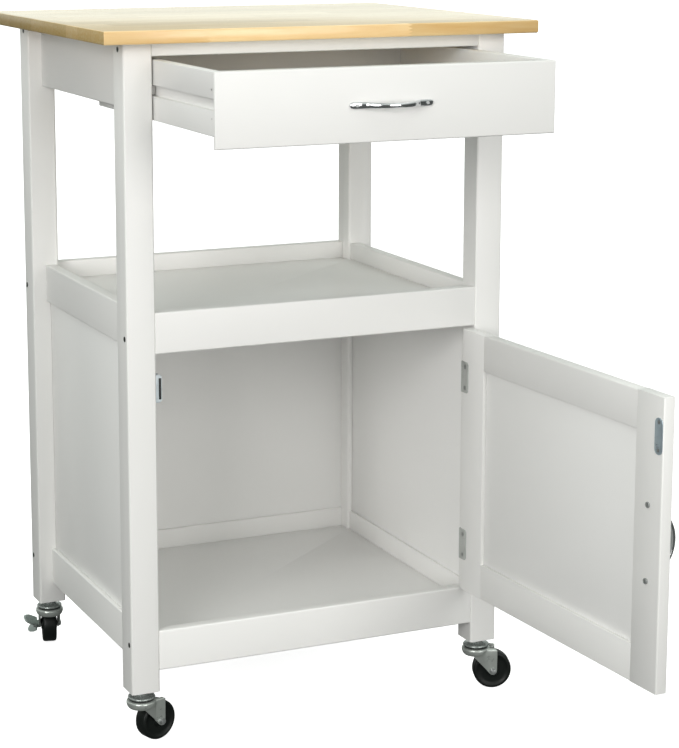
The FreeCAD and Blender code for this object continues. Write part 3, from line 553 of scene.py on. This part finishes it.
def cross_head(screws, place, outward, radius, dome, proud):
    """Adds one domed screw head with a cross-shaped recess to a working mesh."""
    half = radius * RECESS_SPAN
    arm, reach = 2 * half / RECESS_CELLS * RECESS_ARM, half * RECESS_REACH
    grid = bmesh.ops.create_grid(screws, x_segments=RECESS_CELLS, y_segments=RECESS_CELLS,
                                 size=half, matrix=Matrix())["verts"]
    faces = list({face for vert in grid for face in vert.link_faces})
    rim = [edge for edge in {edge for face in faces for edge in face.edges}
           if len(edge.link_faces) == 1]
    circle = bmesh.ops.create_circle(screws, cap_ends=False, segments=HEAD_SIDES,
                                     radius=radius)["verts"]
    circle_edges = list({edge for vert in circle for edge in vert.link_edges})
    bmesh.ops.bridge_loops(screws, edges=rim + circle_edges)
    cross = []
    for face in faces:
        middle = face.calc_center_median()
        if (abs(middle.x) < arm or abs(middle.y) < arm) and middle.length < reach:
            cross.append(face)
    for vert in grid + circle:
        vert.co.z = dome * (1 - (vert.co.xy.length / radius) ** 2)
    skirt = bmesh.ops.extrude_edge_only(screws, edges=circle_edges)["geom"]
    bottom = [item for item in skirt if isinstance(item, bmesh.types.BMVert)]
    bmesh.ops.translate(screws, verts=bottom, vec=(0, 0, -HEAD_SKIRT))
    sunk = [item for item in bmesh.ops.extrude_face_region(screws, geom=cross)["geom"]
            if isinstance(item, bmesh.types.BMVert)]
    bmesh.ops.delete(screws, geom=cross, context="FACES_ONLY")
    bmesh.ops.translate(screws, verts=sunk, vec=(0, 0, -RECESS_DEPTH))
    bmesh.ops.scale(screws, verts=sunk, vec=(RECESS_TAPER, RECESS_TAPER, 1.0))
    bmesh.ops.transform(
        screws, verts=list({*grid, *circle, *bottom, *sunk}),
        matrix=Matrix.Translation(Vector(place) + proud * Vector(outward)) @ facing_to(outward))


def head_set(node, dome, proud, share=1.0):
    """A working mesh with a cross-head on each fastener of a CAD node."""
    heads = bmesh.new()
    for place, outward, radius in flat_heads(node):
        cross_head(heads, place, outward, radius * share, dome, proud)
    bmesh.ops.recalc_face_normals(heads, faces=heads.faces)
    return heads


for node, dome, proud in HEAD_SHAPES:
    put(head_set(node, dome, proud), node + "_heads", screw_steel, body_of[node])
    refinish(node, screw_steel)

# --- Hinges ------------------------------------------------------------------------------------
# Two small steel wrap hinges. A flat leaf is screwed to the post; the other half wraps round the
# door's edge on to its inner face, and the knuckles stand just in front of the door.

HINGE_ARRIS = 0.00025

zinc = plated("zinc_plate", (0.60, 0.62, 0.60), 0.34, metal=0.5)
for node in ("hinge_door_halves", "hinge_post_halves"):
    put(soften(merged_copy(node), HINGE_ARRIS, from_angle=40), node + "_pressed", zinc,
        body_of[node], node)

# --- Magnetic catch and strike plate -----------------------------------------------------------
# A white plastic box with a dark flat magnet in its mouth, screwed to the left front post, and a
# blue-white plated strike plate with rounded ends, screwed to the door.

CATCH_ARRIS, MAGNET_ARRIS, STRIKE_ARRIS = 0.0005, 0.0002, 0.0002
PLASTIC_SHADE = 0.93
STRIKE_CORNER, STRIKE_SHORT_EDGE = 0.0026, 0.0015


def moulded_plastic(name, colour, roughness):
    """Moulded plastic with the fine skin of its mould."""
    material, tree, shader = painted(name, colour, roughness)
    skin = noise_map(tree, point_source(tree), scale=220, detail=2.0)
    tree.links.new(between(tree, skin, roughness - 0.04, roughness + 0.06),
                   shader.inputs["Roughness"])
    tree.links.new(colour_between(tree, skin, shaded(colour, PLASTIC_SHADE), colour),
                   shader.inputs["Base Color"])
    raise_surface(tree, shader, skin, strength=0.06, distance=0.0003)
    return material


catch_white = moulded_plastic("catch_plastic", (0.80, 0.87, 0.92), 0.3)
magnet_black = moulded_plastic("magnet_black", (0.03, 0.032, 0.035), 0.55)
put(soften(merged_copy("catch_housing"), CATCH_ARRIS), "catch_box", catch_white, "cart",
    "catch_housing")
put(soften(merged_copy("catch_magnet"), MAGNET_ARRIS), "catch_magnet_bar", magnet_black, "cart",
    "catch_magnet")
blue_zinc = plated("blue_zinc_plate", (0.47, 0.57, 0.63), 0.30, metal=0.6)
strike = merged_copy("strike_plate")
round_edges(strike, [edge for edge in strike.edges if edge.calc_length() < STRIKE_SHORT_EDGE],
            STRIKE_CORNER, segments=4)
put(soften(strike, STRIKE_ARRIS, from_angle=50), "strike_plate_rounded", blue_zinc, "door",
    "strike_plate")

# --- Bow handles -------------------------------------------------------------------------------
# Chromed bow handles on two flat feet, each held by two screws from behind. The bow has a domed
# outer side and is a little narrower at its middle than at its feet. Its measures are in mm.

BOW_RADIUS, BOW_CENTRE, BOW_END, BOW_STEPS = 40.2, -20.2, 50, 12
BOW_THICKNESS, BOW_WAIST, BOW_FLARE = 4.9, 5.6, 1.8
FOOT_STATIONS = ((33.6, 4.2, 38, 4.8, 7.6), (36.2, 3.2, 25, 4.6, 7.8), (39.5, 2.4, 12, 4.2, 8.0),
                 (44.0, 1.9, 3, 3.7, 8.0), (48.5, 1.7, 0, 3.3, 7.6), (51.0, 1.5, 0, 2.8, 5.8),
                 (51.8, 1.4, 0, 2.0, 3.0))
BAR_SIDES = 20
EDGE_ROUNDNESS, DOME_ROUNDNESS, BACK_ROUNDNESS = 0.8, 0.85, 0.5
DOOR_OPENING = 93

chrome = plated("chrome", (0.80, 0.815, 0.83), 0.13, spread=0.03, scale=40)


def bow_ring(bow, x, depth, lean, thickness, width):
    """One closed ring of the bar; lean is how far its outer side turns from straight out."""
    ring = bmesh.ops.create_circle(bow, cap_ends=False, segments=BAR_SIDES, radius=1)["verts"]
    for vert in ring:
        flat, out = vert.co.x, vert.co.y
        flat = math.copysign(abs(flat) ** EDGE_ROUNDNESS, flat)
        out = math.copysign(abs(out) ** (DOME_ROUNDNESS if out > 0 else BACK_ROUNDNESS), out)
        step = out * thickness / 2
        vert.co = Vector((x + math.sin(lean) * step, -(depth + math.cos(lean) * step),
                          flat * width / 2)) / 1000
    return list({edge for vert in ring for edge in vert.link_edges})


def bow_handle():
    """The whole handle along X, its feet on the plane Y 0, standing out towards -Y."""
    bow = bmesh.new()
    right_foot = [(x, depth, math.radians(lean), thickness, width)
                  for x, depth, lean, thickness, width in FOOT_STATIONS]
    stations = [(-x, depth, -lean, thickness, width)
                for x, depth, lean, thickness, width in reversed(right_foot)]
    for step in range(-BOW_STEPS, BOW_STEPS + 1):
        angle = math.radians(BOW_END * step / BOW_STEPS)
        stations.append((BOW_RADIUS * math.sin(angle), BOW_CENTRE + BOW_RADIUS * math.cos(angle),
                         angle, BOW_THICKNESS, BOW_WAIST + BOW_FLARE * (step / BOW_STEPS) ** 2))
    stations += right_foot
    rings = [bow_ring(bow, *station) for station in stations]
    for near, far in zip(rings, rings[1:]):
        bmesh.ops.bridge_loops(bow, edges=near + far)
    for end_ring in (rings[0], rings[-1]):
        bmesh.ops.edgeloop_fill(bow, edges=end_ring)
    bmesh.ops.recalc_face_normals(bow, faces=bow.faces)
    return bow


drawer_bow = bow_handle()
low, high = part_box("drawer_handle")
bmesh.ops.translate(drawer_bow, verts=drawer_bow.verts, vec=(0, high.y, (low + high).z / 2))
door_bow = bow_handle()
low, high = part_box("door_handle")
stand_up = Matrix.Rotation(math.radians(DOOR_OPENING), 4, "Z") @ Matrix.Rotation(
    math.radians(90), 4, "Y")
bmesh.ops.transform(door_bow, matrix=stand_up, verts=door_bow.verts)
reach = max(vert.co.x for vert in door_bow.verts)
middle_y = sum(vert.co.y for vert in door_bow.verts) / len(door_bow.verts)
bmesh.ops.translate(door_bow, verts=door_bow.verts,
                    vec=(high.x - reach, (low + high).y / 2 - middle_y, (low + high).z / 2))
for bow, name, body in ((drawer_bow, "drawer_handle", "drawer"),
                        (door_bow, "door_handle", "door")):
    handle = put(bow, name + "_bow", chrome, body, name, smooth_to=60)
    rounding = handle.modifiers.new("rounding", "SUBSURF")
    rounding.levels = rounding.render_levels = 1

# --- Casters -----------------------------------------------------------------------------------
# Four swivel casters: a pressed cap and stem in the post's foot, a ring of balls, a stamped zinc
# fork, a black plastic wheel on a bolt, and on the two back ones a stamped brake lever. Profiles
# are (radius, height) in mm, from the post's foot or from the wheel's middle.

STEM_PROFILE = ((0.0, 32.0), (4.9, 32.0), (4.9, 0.0), (9.0, 0.0), (9.0, -5.6), (10.2, -6.6),
                (14.6, -7.5), (15.8, -7.6), (16.7, -8.2), (17.0, -9.0), (16.8, -9.8),
                (16.0, -10.4), (4.0, -10.4), (4.0, -16.6), (6.5, -16.6), (6.5, -17.8),
                (5.4, -18.6), (0.0, -18.6))
BALL_PROFILE = ((12.0, -10.5), (14.6, -10.5), (15.3, -11.1), (15.3, -12.1), (14.6, -12.6),
                (12.0, -12.6))
RACE_PROFILE = ((12.5, -12.7), (16.4, -12.7), (17.8, -13.1), (18.5, -13.9), (18.6, -15.4),
                (17.4, -16.2), (12.5, -16.2))
SKIRT_PROFILE = ((17.2, -14.4), (18.5, -14.4), (18.5, -17.0), (17.4, -20.2), (15.6, -22.2),
                 (14.6, -22.2), (16.2, -19.9), (17.2, -17.0))
WHEEL_PROFILE = ((3.2, 11.0), (5.6, 11.0), (7.4, 10.7), (8.0, 9.6), (8.6, 8.4), (15.0, 7.9),
                 (19.5, 8.2), (20.4, 9.2), (21.8, 9.5), (23.6, 8.9), (24.6, 7.6), (25.0, 5.6))
POST_FOOT = 0.068
CREASE_FRONT, CREASE_BACK, CREASE_STEP = 0.009, 0.0125, 0.0016
PLATE_NEAR, PLATE_FAR, PLATE_TOP = 0.011, 0.014, 0.0127
PLATE_LENGTH, SPREAD_START = 0.0112, 0.012
RACE_LOW, RACE_DROP = 0.0145, 0.0022
SKIRT_BACK = 0.008
LEVER_TURN = -57
WING_ROUNDING, WING_REACH = 0.0026, 0.012
CLIPPED_SHORTEST, CLIPPED_LONGEST = 0.0014, 0.0034
FORK_ARRIS, LEVER_ARRIS, AXLE_ARRIS = 0.0004, 0.0005, 0.0003
AXLE_HEAD_SHARE, AXLE_DOME, AXLE_PROUD = 0.97, 0.0009, 0.0002
WHEEL_GLOSS = 0.22

joints = {joint["name"]: joint for joint in frame["joints"]}


def whole(mesh):
    return mesh.verts[:] + mesh.edges[:] + mesh.faces[:]


def front_skirt(swivel, heading):
    """The pressed skirt under the front half of the fork's race."""
    skirt = spun(SKIRT_PROFILE, closed=True, at=tuple(swivel))
    bmesh.ops.bisect_plane(skirt, geom=whole(skirt), dist=JOIN_WITHIN,
                           plane_co=swivel + SKIRT_BACK * heading, plane_no=heading,
                           clear_outer=True)
    bmesh.ops.holes_fill(skirt, edges=[edge for edge in skirt.edges if len(edge.link_faces) == 1],
                         sides=0)
    bmesh.ops.recalc_face_normals(skirt, faces=skirt.faces)
    return skirt


def creased_fork(node, set_up):
    """The CAD fork, its plates standing a little wider in front of a steep crease."""
    fork = merged_copy(node)
    fork.transform(set_up.inverted())
    for cut in (CREASE_FRONT, CREASE_BACK):
        bmesh.ops.bisect_plane(fork, geom=whole(fork), dist=JOIN_WITHIN, plane_co=(cut, 0, 0),
                               plane_no=(1, 0, 0))
    for vert in fork.verts:
        x, y, z = vert.co
        if (-PLATE_LENGTH < x < CREASE_FRONT + 1e-4 and PLATE_NEAR < abs(y) < PLATE_FAR
                and z < -PLATE_TOP):
            spread = CREASE_STEP * (x + SPREAD_START) / (CREASE_FRONT + SPREAD_START)
            vert.co.y += math.copysign(spread, y)
        if z > -RACE_LOW:
            vert.co.z -= RACE_DROP
    fork.transform(set_up)
    return soften(fork, FORK_ARRIS, from_angle=40)


def rounded_lever(node, centre, axis):
    """The CAD brake lever, its clipped corners worked round, at its turn in the photograph."""
    lever = merged_copy(node)
    bmesh.ops.rotate(lever, verts=lever.verts, cent=centre,
                     matrix=Matrix.Rotation(math.radians(LEVER_TURN), 3, axis))
    tips = []
    for edge in lever.edges:
        arm = (edge.verts[0].co + edge.verts[1].co) / 2 - centre
        if (CLIPPED_SHORTEST < edge.calc_length() < CLIPPED_LONGEST
                and edge.calc_face_angle(0) > math.radians(20)
                and (arm - arm.dot(axis) * axis).length > WING_REACH):
            tips.append(edge)
    round_edges(lever, tips, WING_ROUNDING, segments=4)
    return soften(lever, LEVER_ARRIS, from_angle=35)


black_wheel = moulded_plastic("black_wheel", (0.006, 0.008, 0.007), 0.42)
wheel_shader = black_wheel.node_tree.nodes["Principled BSDF"]
wheel_shader.inputs["Specular IOR Level"].default_value = WHEEL_GLOSS
fork_zinc = plated("fork_zinc", (0.50, 0.535, 0.505), 0.30, metal=0.55)
cap_zinc = plated("cap_zinc", (0.44, 0.475, 0.46), 0.24, metal=0.7)
lever_zinc = plated("lever_zinc", (0.42, 0.475, 0.455), 0.30, metal=0.55)

stems, balls = bmesh.new(), bmesh.new()
for name, joint in joints.items():
    if name.startswith("swivel_"):
        post_foot = (joint["pos_m"][0], joint["pos_m"][1], POST_FOOT)
        spun(STEM_PROFILE, at=post_foot, into=stems)
        spun(BALL_PROFILE, closed=True, at=post_foot, into=balls)
put(stems, "caster_stems_turned", cap_zinc, "cart", "caster_stems", smooth_to=40)
put(balls, "caster_ball_rows", dark_steel_and_socket_shade, "cart", "caster_ball_rings", smooth_to=40)

for name, joint in joints.items():
    if not name.startswith("wheel_spin_"):
        continue
    corner = name[len("wheel_spin_"):]
    caster = "caster_" + corner
    wheel_centre, wheel_axis = Vector(joint["pos_m"]), Vector(joint["axis"])
    swivel = Vector(joints["swivel_" + corner]["pos_m"])
    swivel.z = POST_FOOT
    heading = Vector((wheel_centre.x - swivel.x, wheel_centre.y - swivel.y, 0)).normalized()
    fork_turn = Matrix((heading, wheel_axis, (0, 0, 1))).transposed().to_4x4()
    set_up = Matrix.Translation(swivel) @ fork_turn

    race = spun(RACE_PROFILE, closed=True, at=tuple(swivel))
    put(race, "caster_race_" + corner, fork_zinc, caster, smooth_to=40)
    put(front_skirt(swivel, heading), "caster_skirt_" + corner, fork_zinc, caster, smooth_to=40)
    fork = "caster_fork_" + corner
    put(creased_fork(fork, set_up), "caster_fork_pressed_" + corner, fork_zinc, caster, fork)

    rim = [*WHEEL_PROFILE, *((radius, -side) for radius, side in reversed(WHEEL_PROFILE))]
    wheel = spun(rim, steps=64, closed=True)
    bmesh.ops.transform(wheel, matrix=Matrix.Translation(wheel_centre) @ facing_to(wheel_axis),
                        verts=wheel.verts)
    put(wheel, "caster_wheel_moulded_" + corner, black_wheel, "wheel_" + corner,
        "caster_wheel_" + corner, smooth_to=50)

    axle = "caster_axle_" + corner
    put(head_set(axle, AXLE_DOME, AXLE_PROUD, AXLE_HEAD_SHARE), "caster_axle_head_" + corner,
        screw_steel, caster)
    put(soften(merged_copy(axle), AXLE_ARRIS, from_angle=40), "caster_axle_bolt_" + corner,
        screw_steel, caster, axle)
    lever = "brake_lever_" + corner
    if lever in nodes:
        put(rounded_lever(lever, wheel_centre, wheel_axis), "brake_lever_stamped_" + corner,
            lever_zinc, body_of[lever], lever)
